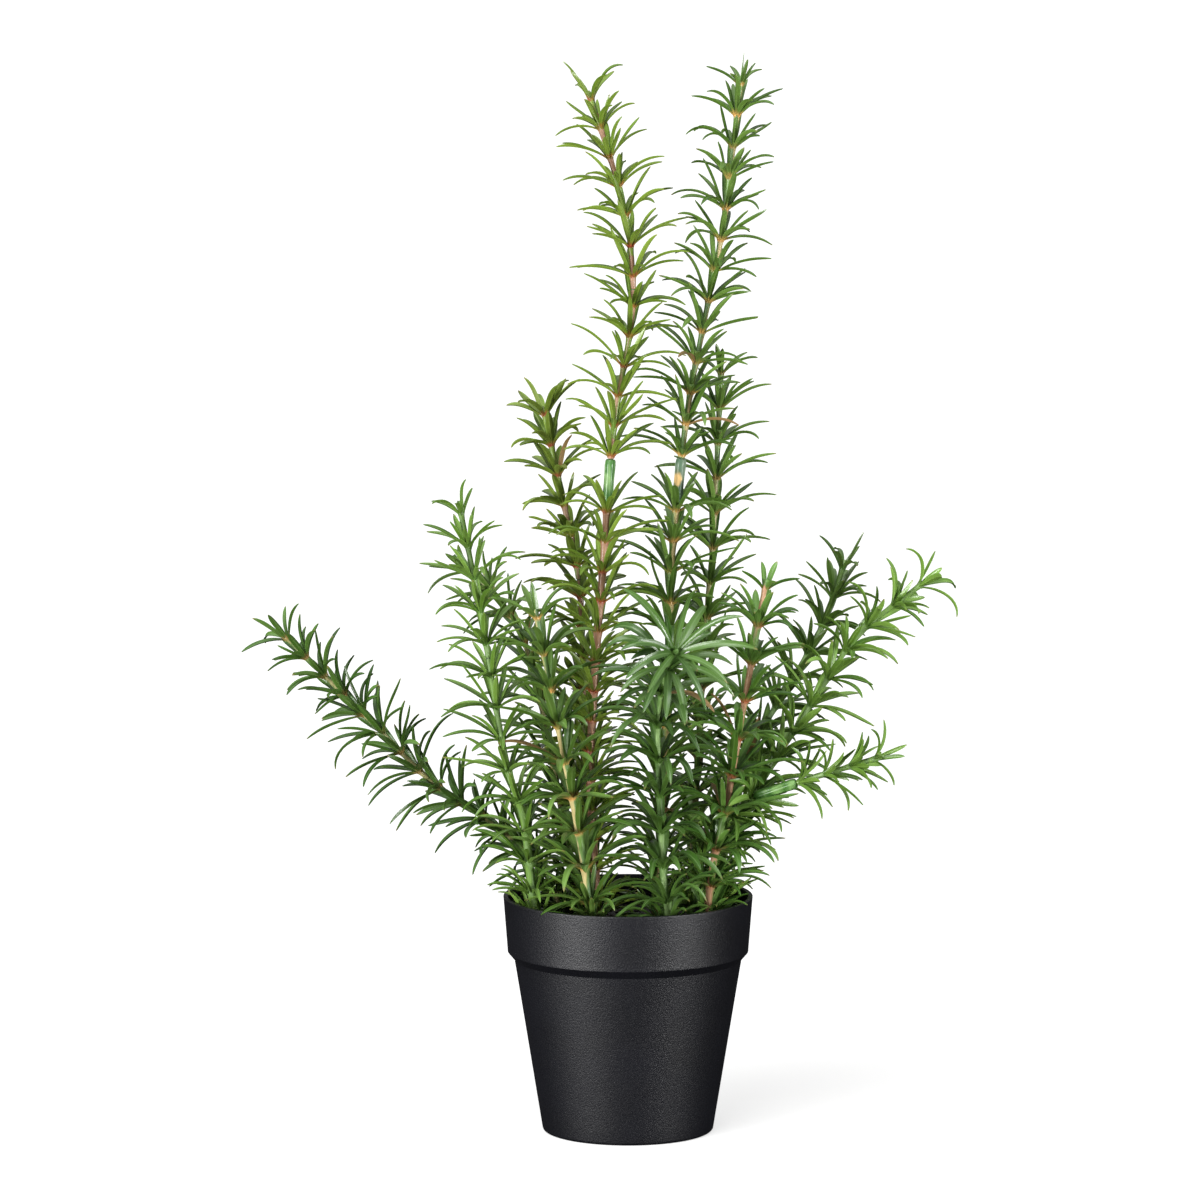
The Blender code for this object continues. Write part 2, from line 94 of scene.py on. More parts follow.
def makeStudio():
    scene = bpy.context.scene
    scene.view_settings.view_transform = "Standard"
    scene.view_settings.look = "None"
    lens = bpy.data.cameras.new("camera")
    lens.lens = studio["lens"]
    lens.sensor_width = 36.0
    lens.clip_end = 50.0
    camera = bpy.data.objects.new("camera", lens)
    camera.location = studio["camera"]
    aim(camera, studio["lookAt"])
    scene.collection.objects.link(camera)
    scene.camera = camera

    world = bpy.data.worlds.new("studio")
    world.use_nodes = True
    nodes, links = world.node_tree.nodes, world.node_tree.links
    sky = nodes["Background"]
    sky.inputs["Color"].default_value = (1, 1, 1, 1)
    heading = nodes.new("ShaderNodeTexCoord")
    height = nodes.new("ShaderNodeSeparateXYZ")
    fade = nodes.new("ShaderNodeMapRange")
    fade.interpolation_type = "SMOOTHSTEP"
    fade.inputs["From Min"].default_value = 0.0
    fade.inputs["From Max"].default_value = 0.9
    fade.inputs["To Min"].default_value = studio["skyLow"]
    fade.inputs["To Max"].default_value = studio["skyHigh"]
    links.new(heading.outputs["Generated"], height.inputs[0])
    links.new(height.outputs["Z"], fade.inputs["Value"])
    links.new(fade.outputs["Result"], sky.inputs["Strength"])
    backdrop = nodes.new("ShaderNodeBackground")
    backdrop.inputs["Color"].default_value = (1, 1, 1, 1)
    ray = nodes.new("ShaderNodeLightPath")
    either = nodes.new("ShaderNodeMixShader")
    links.new(ray.outputs["Is Camera Ray"], either.inputs["Fac"])
    links.new(sky.outputs[0], either.inputs[1])
    links.new(backdrop.outputs[0], either.inputs[2])
    links.new(either.outputs[0], nodes["World Output"].inputs["Surface"])
    scene.world = world

    sun = bpy.data.lights.new("overhead", "SUN")
    sun.energy = studio["sunStrength"]
    sun.angle = math.radians(studio["sunSpread"])
    overhead = bpy.data.objects.new("overhead", sun)
    overhead.location = studio["sunPlace"]
    aim(overhead, studio["lightsAim"])
    scene.collection.objects.link(overhead)
    for i, (place, size, watts) in enumerate(studio["boxes"]):
        light = bpy.data.lights.new(f"softbox{i}", "AREA")
        light.shape = "RECTANGLE"
        light.size, light.size_y = size
        light.energy = watts
        box = bpy.data.objects.new(f"softbox{i}", light)
        box.location = place
        aim(box, studio["lightsAim"])
        scene.collection.objects.link(box)

    bpy.ops.mesh.primitive_circle_add(vertices=96, radius=studio["floorRadius"], fill_type="NGON")
    floor = bpy.context.object
    floor.name = "floor"
    paint = bpy.data.materials.new("floor")
    paint.use_nodes = True
    nodes, links = paint.node_tree.nodes, paint.node_tree.links
    seen = nodes["Principled BSDF"]
    seen.inputs["Base Color"].default_value = (*studio["floorColour"], 1)
    seen.inputs["Roughness"].default_value = 0.9
    seen.inputs["Specular IOR Level"].default_value = 0.1
    seen.inputs["Emission Color"].default_value = (1, 1, 1, 1)
    seen.inputs["Emission Strength"].default_value = studio["floorGlow"]
    ray = nodes.new("ShaderNodeLightPath")
    last = nodes.new("ShaderNodeBsdfDiffuse")
    last.inputs["Color"].default_value = (*studio["floorBounce"], 1)
    glossy = nodes.new("ShaderNodeBsdfDiffuse")
    glossy.inputs["Color"].default_value = (*studio["floorInGloss"], 1)
    for flag, shader in (("Is Glossy Ray", glossy), ("Is Camera Ray", seen)):
        either = nodes.new("ShaderNodeMixShader")
        links.new(ray.outputs[flag], either.inputs["Fac"])
        links.new(last.outputs[0], either.inputs[1])
        links.new(shader.outputs[0], either.inputs[2])
        last = either
    links.new(last.outputs[0], nodes["Material Output"].inputs["Surface"])
    floor.data.materials.append(paint)


makeStudio()
print("studio ready")


# Shader helpers

class Paint:
    # a material under construction, with short names for the nodes that it uses

    def __init__(self, name):
        self.material = bpy.data.materials.new(name)
        self.material.use_nodes = True
        self.nodes = self.material.node_tree.nodes
        self.links = self.material.node_tree.links
        self.surface = self.nodes["Principled BSDF"]

    def put(self, socket, value):
        if isinstance(value, bpy.types.NodeSocket):
            self.links.new(value, socket)
        elif isinstance(value, (tuple, list)) and socket.type == "RGBA":
            socket.default_value = (*value[:3], 1)
        else:
            socket.default_value = value

    def attribute(self, name):
        node = self.nodes.new("ShaderNodeAttribute")
        node.attribute_name = name
        return node

    def split(self, vector):
        node = self.nodes.new("ShaderNodeSeparateXYZ")
        self.put(node.inputs[0], vector)
        return node.outputs

    def math(self, kind, a, b=0.0):
        node = self.nodes.new("ShaderNodeMath")
        node.operation = kind
        self.put(node.inputs[0], a)
        self.put(node.inputs[1], b)
        return node.outputs[0]

    def wander(self, value, noise, amount):
        # the value, moved up and down by the noise
        return self.math("ADD", value, self.math("MULTIPLY", self.math("SUBTRACT", noise, 0.5), amount))

    def ramp(self, value, low, high, toLow=0.0, toHigh=1.0):
        node = self.nodes.new("ShaderNodeMapRange")
        node.interpolation_type = "SMOOTHSTEP"
        for socket, given in zip(node.inputs, (value, low, high, toLow, toHigh)):
            self.put(socket, given)
        return node.outputs[0]

    def mix(self, share, a, b):
        node = self.nodes.new("ShaderNodeMix")
        node.data_type = "RGBA"
        self.put(node.inputs[0], share)
        self.put(node.inputs[6], a)
        self.put(node.inputs[7], b)
        return node.outputs[2]

    def noise(self, vector, scale, detail=2.0, stretch=(1, 1, 1)):
        mapping = self.nodes.new("ShaderNodeMapping")
        mapping.inputs["Scale"].default_value = stretch
        self.put(mapping.inputs["Vector"], vector)
        node = self.nodes.new("ShaderNodeTexNoise")
        self.links.new(mapping.outputs[0], node.inputs["Vector"])
        node.inputs["Scale"].default_value = scale
        node.inputs["Detail"].default_value = detail
        return node.outputs["Fac"]

    def place(self):
        return self.nodes.new("ShaderNodeTexCoord").outputs["Object"]

    def bump(self, height, distance, strength=1.0):
        node = self.nodes.new("ShaderNodeBump")
        node.inputs["Distance"].default_value = distance
        node.inputs["Strength"].default_value = strength
        self.links.new(height, node.inputs["Height"])
        self.links.new(node.outputs[0], self.surface.inputs["Normal"])

    def set(self, **values):
        for name, value in values.items():
            self.put(self.surface.inputs[name.replace("_", " ")], value)
        return self.material


def smoothPiece(name, bm, finishes, sharpAngle):
    bmesh.ops.recalc_face_normals(bm, faces=bm.faces)
    mesh = bpy.data.meshes.new(name)
    bm.to_mesh(mesh)
    bm.free()
    for finish in finishes:
        mesh.materials.append(finish)
    mesh.shade_smooth()
    mesh.set_sharp_from_angle(angle=math.radians(sharpAngle))
    piece = bpy.data.objects.new(name, mesh)
    bpy.context.scene.collection.objects.link(piece)
    return piece


def turnedProfile(profile, sides):
    bm = bmesh.new()
    line = [bm.verts.new((radius, 0.0, height)) for radius, height in profile]
    edges = [bm.edges.new(pair) for pair in zip(line, line[1:])]
    bmesh.ops.spin(bm, geom=line + edges, cent=(0, 0, 0), axis=(0, 0, 1),
                   angle=math.tau, steps=sides, use_merge=True)
    bmesh.ops.remove_doubles(bm, verts=bm.verts, dist=0.00001)
    return bm


def corner(centre, radius, start, end, steps):
    turns = [math.radians(mixed(start, end, i / steps)) for i in range(steps + 1)]
    return [(centre[0] + radius * math.cos(t), centre[1] + radius * math.sin(t)) for t in turns]


# The pot: black moulded plastic, tapered, with a deep rim band

pot = {
    "bandHeight": 0.0268,
    "bandTaper": 0.0020,
    "shoulder": 0.0547,         # radius under the band
    "shoulderDrop": 0.0039,
    "foot": 0.0413,
    "wall": 0.0022,
    "floor": 0.0030,
    "footEdge": 0.0018,
    "lipEdge": 0.0002,
    "bandEdge": 0.0007,
    "sides": 160,
    "colour": (0.0024, 0.0025, 0.0040),
    "scuffColour": (0.013, 0.013, 0.016),
    "grainSize": 0.00072,
    "grainDepth": 0.00015,
    "rough": (0.40, 0.50),
    "specular": 0.38,
}
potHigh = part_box("pot")[1].z
rimRadius = (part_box("pot")[1].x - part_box("pot")[0].x) / 2
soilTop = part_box("soil")[1].z
bandFoot = potHigh - pot["bandHeight"]
bandRadius = rimRadius - pot["bandTaper"]
shoulderHigh = bandFoot - pot["shoulderDrop"]


def potFinish():
    paint = Paint("potPlastic")
    place = paint.place()
    grain = paint.noise(place, 1 / pot["grainSize"], 2.0)
    fine = paint.noise(place, 3 / pot["grainSize"], 1.0)
    cloud = paint.noise(place, 38, 3)
    scuff = paint.noise(place, 240, 4, (1, 1, 0.25))
    dark = tuple(c * 0.9 for c in pot["colour"])
    light = tuple(c * 1.25 for c in pot["colour"])
    colour = paint.mix(paint.ramp(cloud, 0.3, 0.7), dark, light)
    colour = paint.mix(paint.ramp(scuff, 0.66, 0.85, 0.0, 0.25), colour, pot["scuffColour"])
    paint.bump(paint.math("ADD", grain, paint.math("MULTIPLY", fine, 0.4)), pot["grainDepth"], 0.9)
    rough = paint.ramp(grain, 0.3, 0.7, *pot["rough"])
    return paint.set(Base_Color=colour, Roughness=rough, Specular_IOR_Level=pot["specular"])


def makePot():
    # half of its cut, from the middle of the underside up the outside, over the lip and down inside
    lip, wall, edge = pot["lipEdge"], pot["wall"], pot["bandEdge"]
    foot, footEdge = pot["foot"], pot["footEdge"]
    profile = [(0.0, 0.0), (foot * 0.5, 0.0), (foot - footEdge * 1.6, 0.0)]
    profile += corner((foot - footEdge, footEdge), footEdge, -90, -8, 8)
    for i in range(1, 12):
        share = i / 12
        profile.append((mixed(foot, pot["shoulder"], share), mixed(footEdge, shoulderHigh, share)))
    profile += [(pot["shoulder"], shoulderHigh)]
    profile += corner((bandRadius - edge, bandFoot + edge * 0.3), edge, -60, -4, 6)
    for share in (0.02, 0.17, 0.33, 0.5, 0.67, 0.83, 0.97):
        height = mixed(bandFoot + edge, potHigh - lip, share)
        profile.append((mixed(bandRadius, rimRadius, share), height))
    profile += corner((rimRadius - lip, potHigh - lip), lip, 0, 90, 8)
    profile += corner((rimRadius - wall + lip, potHigh - lip), lip, 90, 180, 8)
    profile += [(bandRadius - wall, bandFoot), (pot["shoulder"] - wall, shoulderHigh)]
    profile += [(foot - wall, pot["floor"]), (0.0, pot["floor"])]
    piece = smoothPiece("pot.body", turnedProfile(profile, pot["sides"]), [potFinish()], 14)
    keepPiece(piece, "pot", "pot")


makePot()
print("pot turned")


# The fill: dark bark, uneven, with loose crumbs on it

fill = {
    "rings": 34,
    "sides": 96,
    "unevenness": 0.0013,
    "lumpSize": 0.007,
    "gap": 0.0004,
    "crumbs": 420,
    "crumbSize": (0.0012, 0.0042),
    "colour": (0.0065, 0.0052, 0.0042),
    "crumbColour": (0.016, 0.011, 0.008),
    "seed": 7,
}


def fillHeight(x, y):
    lump = noise.noise(Vector((x, y, 0.3)) / fill["lumpSize"])
    fine = noise.noise(Vector((x, y, 4.1)) / (fill["lumpSize"] * 0.3))
    return soilTop + fill["unevenness"] * (lump * 0.8 + fine * 0.45)


def barkFinish(name, colour, lighter):
    paint = Paint(name)
    place = paint.place()
    clod = paint.noise(place, 420, 5)
    strand = paint.noise(place, 900, 3, (1, 0.3, 1))
    tone = paint.mix(paint.ramp(clod, 0.35, 0.7), colour, tuple(c * lighter for c in colour))
    paint.bump(paint.math("ADD", clod, strand), 0.0005, 0.9)
    return paint.set(Base_Color=tone, Roughness=paint.ramp(clod, 0.3, 0.7, 0.62, 0.9))


def makeFill():
    wall = pot["wall"] + fill["gap"]
    topRadius = mixed(bandRadius, rimRadius, 0.4) - wall
    floor = pot["floor"] + fill["gap"]
    profile = [(0.0, floor), (pot["foot"] - wall, floor)]
    profile += [(pot["shoulder"] - wall, shoulderHigh), (bandRadius - wall, bandFoot)]
    profile += [(topRadius * (1 - i / fill["rings"]), soilTop) for i in range(fill["rings"] + 1)]
    bm = turnedProfile(profile, fill["sides"])
    for vert in bm.verts:
        if vert.co.z > soilTop - 0.0001:
            vert.co.z = fillHeight(vert.co.x, vert.co.y)
    piece = smoothPiece("fill.bark", bm, [barkFinish("barkFill", fill["colour"], 2.4)], 60)
    keepPiece(piece, "soil", "soil")

    chance = random.Random(fill["seed"])
    bm = bmesh.new()
    for i in range(fill["crumbs"]):
        reach = (topRadius - 0.003) * math.sqrt(chance.random())
        turn = chance.uniform(0, math.tau)
        size = mixed(*fill["crumbSize"], chance.random() ** 2)
        x, y = reach * math.cos(turn), reach * math.sin(turn)
        made = bmesh.ops.create_icosphere(bm, subdivisions=1, radius=size / 2)["verts"]
        flat = Vector((
            chance.uniform(0.6, 1.3), chance.uniform(0.35, 0.8), chance.uniform(0.25, 0.6)))
        spin = Vector((0, 0, 1)).rotation_difference(
            Vector((chance.uniform(-0.5, 0.5), chance.uniform(-0.5, 0.5), 1)))
        heading = chance.uniform(0, math.tau)
        cosine, sine = math.cos(heading), math.sin(heading)
        for vert in made:
            rough = 1 + 0.35 * noise.noise(vert.co * 900 + Vector((i, 0, 0)))
            p = Vector(vert.co[k] * flat[k] * rough for k in range(3))
            p = spin @ Vector((p.x * cosine - p.y * sine, p.x * sine + p.y * cosine, p.z))
            vert.co = p + Vector((x, y, fillHeight(x, y) + size * 0.1))
    piece = smoothPiece("fill.crumbs", bm, [barkFinish("barkCrumb", fill["crumbColour"], 2.8)], 25)
    keepPiece(piece, "soil")


makeFill()
print("fill laid")


# Shoots: each has its route from inside the fill to its tip, and its leaves' cut and colours.
# bareShare of the stem has lost its green skin, and tanSide is where: 0 right, 90 back,
# 180 left, -90 front. bareFrom gives the heights between which that happens.

leafGreens = {
    # the darkest and the palest of the upper side, and the underside
    "yellow": {"deep": (0.048, 0.110, 0.004), "pale": (0.170, 0.265, 0.036),
               "under": (0.105, 0.140, 0.016)},
    "bright": {"deep": (0.030, 0.090, 0.004), "pale": (0.136, 0.245, 0.044),
               "under": (0.072, 0.125, 0.014)},
    "mid": {"deep": (0.013, 0.052, 0.002), "pale": (0.072, 0.150, 0.028),
            "under": (0.042, 0.080, 0.009)},
    "olive": {"deep": (0.040, 0.086, 0.003), "pale": (0.156, 0.232, 0.036),
              "under": (0.080, 0.105, 0.009)},
    "dark": {"deep": (0.018, 0.060, 0.003), "pale": (0.102, 0.188, 0.036),
             "under": (0.052, 0.088, 0.011)},
}
skins = {
    # bare and green skin of the stem, the outside of a whorl's foot, and its axils, where the joint's
    # colour is darkened as painted shade
    "redBrown": {"bare": (0.260, 0.140, 0.078), "sap": (0.110, 0.180, 0.060),
                 "root": (0.290, 0.058, 0.028), "shadedAxil": (0.050, 0.008, 0.004)},
    "darkRed": {"bare": (0.170, 0.095, 0.050), "sap": (0.075, 0.125, 0.030),
                "root": (0.230, 0.055, 0.028), "shadedAxil": (0.040, 0.007, 0.004)},
    "pink": {"bare": (0.300, 0.165, 0.085), "sap": (0.120, 0.170, 0.055),
             "root": (0.320, 0.100, 0.045), "shadedAxil": (0.070, 0.016, 0.008)},
    "tan": {"bare": (0.350, 0.285, 0.120), "sap": (0.085, 0.150, 0.065),
            "root": (0.460, 0.250, 0.075), "shadedAxil": (0.090, 0.050, 0.012)},
    "olive": {"bare": (0.230, 0.210, 0.085), "sap": (0.060, 0.105, 0.035),
              "root": (0.220, 0.140, 0.045), "shadedAxil": (0.025, 0.030, 0.007)},
    "green": {"bare": (0.130, 0.215, 0.065), "sap": (0.075, 0.145, 0.040),
              "root": (0.062, 0.135, 0.022), "shadedAxil": (0.020, 0.048, 0.006)},
}
usual = {                       # what a shoot has unless its own entry says otherwise
    "sleeve": 0,                # whorls above the sleeve, or 0 for no sleeve
    "leaves": 12,               # in one whorl
    "tone": 1.0,                # paler or darker than the green that it names
    "tanSide": -90,
    "stemTip": 0.00125,         # radius
    "greenTip": 0.030,          # how far down from the tip the skin is all green
    "greenFoot": 0.0,           # and up to what height
    "needle": 0.0,              # length of the bare point at the tip
    "droop": 0.12,              # how much a leaf's own weight bends it down
}
shoots = {
    "tallLeft": {
        "node": "tall_left",
        "route": (
            (-0.014, 0.002, 0.070), (-0.015, 0.001, 0.112), (-0.018, 0.000, 0.165),
            (-0.017, 0.000, 0.205), (-0.013, 0.000, 0.262), (-0.007, 0.002, 0.340),
            (0.001, 0.003, 0.388), (0.002, 0.003, 0.416), (-0.003, 0.003, 0.450),
            (-0.019, 0.004, 0.502),
        ),
        "internode": 0.0145, "sections": 4, "sleeve": 13,
        "leaf": 0.0300, "leafWidth": 0.0029, "green": "yellow",
        "skin": "redBrown", "bareShare": 0.50, "tanSide": -110,
        "stemFoot": 0.00190,
        "bareFrom": ((0.100, 0.335), (0.385, 0.423), (0.457, 0.491)), "top": {"reach": 1.12},
    },
    "tallRight": {
        "node": "tall_right",
        "route": (
            (0.012, 0.014, 0.070), (0.014, 0.014, 0.115), (0.019, 0.014, 0.207),
            (0.021, 0.016, 0.275), (0.028, 0.017, 0.344), (0.036, 0.018, 0.388),
            (0.045, 0.019, 0.434), (0.051, 0.020, 0.482), (0.054, 0.020, 0.508),
        ),
        "internode": 0.0150, "sections": 4, "sleeve": 13,
        "leaf": 0.0305, "leafWidth": 0.0031, "green": "dark", "tone": 1.15,
        "skin": "tan", "bareShare": 0.30, "tanSide": -30,
        "stemFoot": 0.00180,
        "bareFrom": ((0.100, 0.318), (0.338, 0.356), (0.405, 0.452)),
        "needle": 0.0105, "top": {"reach": 0.72},
    },
    "backRight": {
        "node": "back_right",
        "route": (
            (0.029, 0.029, 0.070), (0.031, 0.030, 0.122), (0.035, 0.035, 0.195),
            (0.037, 0.038, 0.233), (0.041, 0.040, 0.279), (0.045, 0.042, 0.367),
        ),
        "internode": 0.0170, "sections": 3,
        "leaf": 0.0320, "leafWidth": 0.0034, "green": "dark", "tone": 1.32,
        "skin": "olive", "bareShare": 0.35, "tanSide": -120,
        "stemTip": 0.00130, "stemFoot": 0.00170,
    },
    "midLeft": {
        "node": "mid_left",
        "route": (
            (-0.020, 0.023, 0.070), (-0.021, 0.024, 0.123), (-0.022, 0.028, 0.230),
            (-0.024, 0.030, 0.265), (-0.030, 0.031, 0.296), (-0.041, 0.032, 0.348),
        ),
        "internode": 0.0150, "sections": 3,
        "leaf": 0.0280, "leafWidth": 0.0040, "green": "olive",
        "skin": "darkRed", "bareShare": 0.45,
        "stemTip": 0.00130, "stemFoot": 0.00170,
        "top": {"leaves": 9, "young": 0.6, "upright": 1, "spread": (38, 84)},
    },
    "frontLeft": {
        "node": "front_left",
        "route": (
            (-0.040, -0.010, 0.070), (-0.046, -0.018, 0.120), (-0.050, -0.026, 0.155),
            (-0.058, -0.032, 0.184), (-0.064, -0.038, 0.219), (-0.070, -0.042, 0.258),
            (-0.080, -0.045, 0.310),
        ),
        "internode": 0.0160, "sections": 3,
        "leaf": 0.0305, "leafWidth": 0.0030, "green": "bright",
        "skin": "green", "bareShare": 0.15,
        "stemFoot": 0.00230,
        "top": {"reach": 0.85},
    },
    "behindLeft": {
        "node": "behind_left",
        "route": (
            (-0.025, 0.013, 0.070), (-0.027, 0.012, 0.120), (-0.033, 0.010, 0.159),
            (-0.047, 0.008, 0.228), (-0.062, 0.008, 0.257), (-0.080, 0.008, 0.274),
        ),
        "internode": 0.0150, "sections": 2,
        "leaf": 0.0305, "leafWidth": 0.0032, "green": "dark", "tone": 0.90,
        "skin": "olive", "bareShare": 0.30,
        "stemFoot": 0.00165,
    },
    "frontTan": {
        "node": "front_tan",
        "route": (
            (-0.014, -0.027, 0.070), (-0.018, -0.032, 0.113), (-0.023, -0.038, 0.148),
            (-0.034, -0.048, 0.207), (-0.044, -0.052, 0.261),
        ),
        "internode": 0.0180, "sections": 2,
        "leaf": 0.0350, "leafWidth": 0.0039, "leaves": 13, "green": "dark",
        "skin": "tan", "bareShare": 0.36, "tanSide": -150,
        "stemFoot": 0.00230,
        "greenFoot": 0.128,
    },
    "frontBent": {
        "node": "front_bent",
        "route": (
            (0.016, -0.030, 0.070), (0.019, -0.034, 0.111), (0.017, -0.036, 0.128),
            (0.014, -0.043, 0.192), (0.015, -0.049, 0.216), (0.0185, -0.061, 0.2345),
            (0.0228, -0.079, 0.2455),
        ),
        "internode": 0.0175, "sections": 2,
        "leaf": 0.0375, "leafWidth": 0.0038, "leaves": 14, "green": "mid", "tone": 0.84,
        "skin": "green", "bareShare": 0.15,
        "stemTip": 0.00130, "stemFoot": 0.00195,
        "droop": 0.7,
        "top": {"leaves": 9, "young": 0.0, "upright": 0, "width": 0.84, "spread": (34, 108)},
    },
    "pinkRight": {
        "node": "pink_right",
        "route": (
            (0.033, -0.013, 0.070), (0.038, -0.018, 0.110), (0.041, -0.021, 0.135),
            (0.048, -0.025, 0.169), (0.061, -0.028, 0.246), (0.066, -0.028, 0.272),
        ),
        "internode": 0.0185, "sections": 2,
        "leaf": 0.0325, "leafWidth": 0.0039, "leaves": 14, "green": "mid", "tone": 1.30,
        "skin": "pink", "bareShare": 0.58, "tanSide": -110,
        "stemTip": 0.00145, "stemFoot": 0.00190,
        "greenTip": 0.004, "top": {"leaves": 5, "reach": 0.62},
    },
    "archingRight": {
        "node": "arching_right",
        "route": (
            (0.038, 0.006, 0.070), (0.042, 0.007, 0.111), (0.048, 0.006, 0.138),
            (0.060, 0.004, 0.162), (0.096, -0.003, 0.221), (0.111, -0.006, 0.243),
            (0.143, -0.008, 0.269),
        ),
        "internode": 0.0160, "sections": 2,
        "leaf": 0.0300, "leafWidth": 0.0034, "leaves": 13, "green": "bright", "tone": 1.20,
        "skin": "green", "bareShare": 0.20,
        "stemFoot": 0.00175,
    },
    "darkRight": {
        "node": "dark_right",
        "route": (
            (0.038, 0.020, 0.070), (0.043, 0.018, 0.119), (0.053, 0.022, 0.162),
            (0.065, 0.026, 0.191), (0.092, 0.032, 0.237), (0.105, 0.034, 0.273),
        ),
        "internode": 0.0150, "sections": 2,
        "leaf": 0.0305, "leafWidth": 0.0032, "leaves": 13, "green": "dark", "tone": 0.82,
        "skin": "green", "bareShare": 0.20,
        "stemFoot": 0.00165,
    },
    "lowRight": {
        "node": "low_right",
        "route": (
            (0.026, -0.001, 0.070), (0.031, -0.002, 0.113), (0.040, -0.008, 0.143),
            (0.056, -0.016, 0.162), (0.074, -0.024, 0.171), (0.122, -0.034, 0.188),
        ),
        "internode": 0.0130, "sections": 2, "sleeve": 4,
        "leaf": 0.0255, "leafWidth": 0.0029, "green": "bright",
        "skin": "green", "bareShare": 0.25,
        "stemFoot": 0.00170,
    },
    "lowLeft": {
        "node": "low_left",
        "route": (
            (-0.032, 0.003, 0.070), (-0.035, 0.002, 0.115), (-0.050, 0.000, 0.137),
            (-0.069, -0.004, 0.153), (-0.095, -0.008, 0.172), (-0.118, -0.012, 0.196),
            (-0.166, -0.016, 0.245),
        ),
        "internode": 0.0130, "sections": 2,
        "leaf": 0.0290, "leafWidth": 0.0032, "green": "mid", "tone": 0.90,
        "skin": "olive", "bareShare": 0.15,
        "stemFoot": 0.00165,
    },
}
shoots = {label: usual | shoot for label, shoot in shoots.items()}

stemCut = {
    "flare": 0.30,              # how much wider the stem is at the foot of a whorl
    "flareBelow": 0.0030,
    "flareAbove": 0.0008,
    "fullAt": 0.34,             # how far from the tip it is as thick as at the foot
    "bore": 0.00116,
    "sides": 16,
    "step": 0.0010,
    "bud": 0.0035,
    "point": ((0.0, 0.00045), (0.5, 0.00026), (1.0, 0.00012)),      # share of the needle, radius
    "sectionGap": 0.0006,
    "sleeveLength": 0.0220,
    "sleeveSpan": 0.0270,
    "sleeveRadius": 0.0026,
    "lowestWhorl": 0.1045,      # height
    "foot": 0.1012,             # height
    "lowWhorlSpace": 0.0070,    # room that one more whorl at the foot needs
}


def smoothRoute(points, step=0.002):
    knots = [Vector(p) for p in points]
    knots = [2 * knots[0] - knots[1], *knots, 2 * knots[-1] - knots[-2]]
    route = []
    for a, b, c, d in zip(knots, knots[1:], knots[2:], knots[3:]):
        count = max(2, round((c - b).length / step))
        for i in range(count):
            t = i / count
            route.append(0.5 * (2 * b + (c - a) * t + (2 * a - 5 * b + 4 * c - d) * t * t
                                + (3 * b - a - 3 * c + d) * t * t * t))
    route.append(knots[-2])
    return route


class StemLine:
    # a shoot's centre line, read by length from its foot, with cross directions that don't twist

    def __init__(self, points):
        self.route = smoothRoute(points)
        self.lengths = [0.0]
        for a, b in zip(self.route, self.route[1:]):
            self.lengths.append(self.lengths[-1] + (b - a).length)
        self.across = []
        across = Vector((1, 0, 0))
        for i in range(len(self.route)):
            along = self.direction(i)
            across = (across - along * across.dot(along)).normalized()
            self.across.append(across)

    def direction(self, i):
        return (self.route[min(i + 1, len(self.route) - 1)] - self.route[max(i - 1, 0)]).normalized()

    def at(self, length):
        i = 1
        while i < len(self.route) - 1 and self.lengths[i] < length:
            i += 1
        share = (length - self.lengths[i - 1]) / (self.lengths[i] - self.lengths[i - 1])
        place = self.route[i - 1].lerp(self.route[i], share)
        along = self.direction(i - 1).lerp(self.direction(i), share).normalized()
        across = self.across[i - 1].lerp(self.across[i], share)
        across = (across - along * across.dot(along)).normalized()
        return place, along, across, along.cross(across)

    def lengthAtHeight(self, height):
        for i in range(1, len(self.route)):
            if self.route[i].z >= height:
                share = (height - self.route[i - 1].z) / (self.route[i].z - self.route[i - 1].z)
                return mixed(self.lengths[i - 1], self.lengths[i], share)


def planShoot(shoot):
    # whorls from the tip down, then the tube sections and the sleeve between them, as in the CAD
    line = StemLine(shoot["route"])
    lowest = line.lengthAtHeight(stemCut["lowestWhorl"])
    whorls = [line.lengths[-1] - stemCut["bud"]]
    while True:
        span = stemCut["sleeveSpan"] if len(whorls) == shoot["sleeve"] else shoot["internode"]
        if whorls[-1] - span < lowest:
            break
        whorls.append(whorls[-1] - span)
    if whorls[-1] - lowest > stemCut["lowWhorlSpace"]:
        whorls.append(lowest)
    whorls.reverse()
    count = len(whorls)
    firsts = {round(count * i / shoot["sections"]) for i in range(1, shoot["sections"])}
    sleeveAt = count - shoot["sleeve"] if shoot["sleeve"] else None
    if sleeveAt:
        firsts = firsts - {min(firsts, key=lambda first: abs(first - sleeveAt))} | {sleeveAt}
    firsts = [0, *sorted(firsts)]
    sections, sleeve = [], None
    for first, after in zip(firsts, [*firsts[1:], count]):
        start = line.lengthAtHeight(stemCut["foot"])
        if first:
            joint = (whorls[first - 1] + whorls[first]) / 2
            half = stemCut["sectionGap"] / 2
            if first == sleeveAt:
                sleeve = (joint - stemCut["sleeveLength"] / 2, joint + stemCut["sleeveLength"] / 2)
                half += stemCut["sleeveLength"] / 2
            sections[-1]["end"] = joint - half
            start = joint + half
        sections.append({"start": start, "end": line.lengths[-1], "whorls": whorls[first:after]})
    return {"line": line, "whorls": whorls, "sections": sections, "sleeve": sleeve}


# Room round every leaf and stem, kept in a grid of cells

leafRoom = {
    "cell": 0.004,
    "leaf": 0.0020,
    "sibling": 0.0017,          # another leaf of the same whorl
    "stem": 0.0032,
    "pot": 0.0014,
    "tries": 12,
    "enough": 0.0004,           # crowding at which no other place is tried
    "stray": 0.3,               # how far a leaf may turn and lean to find room, in radians
}


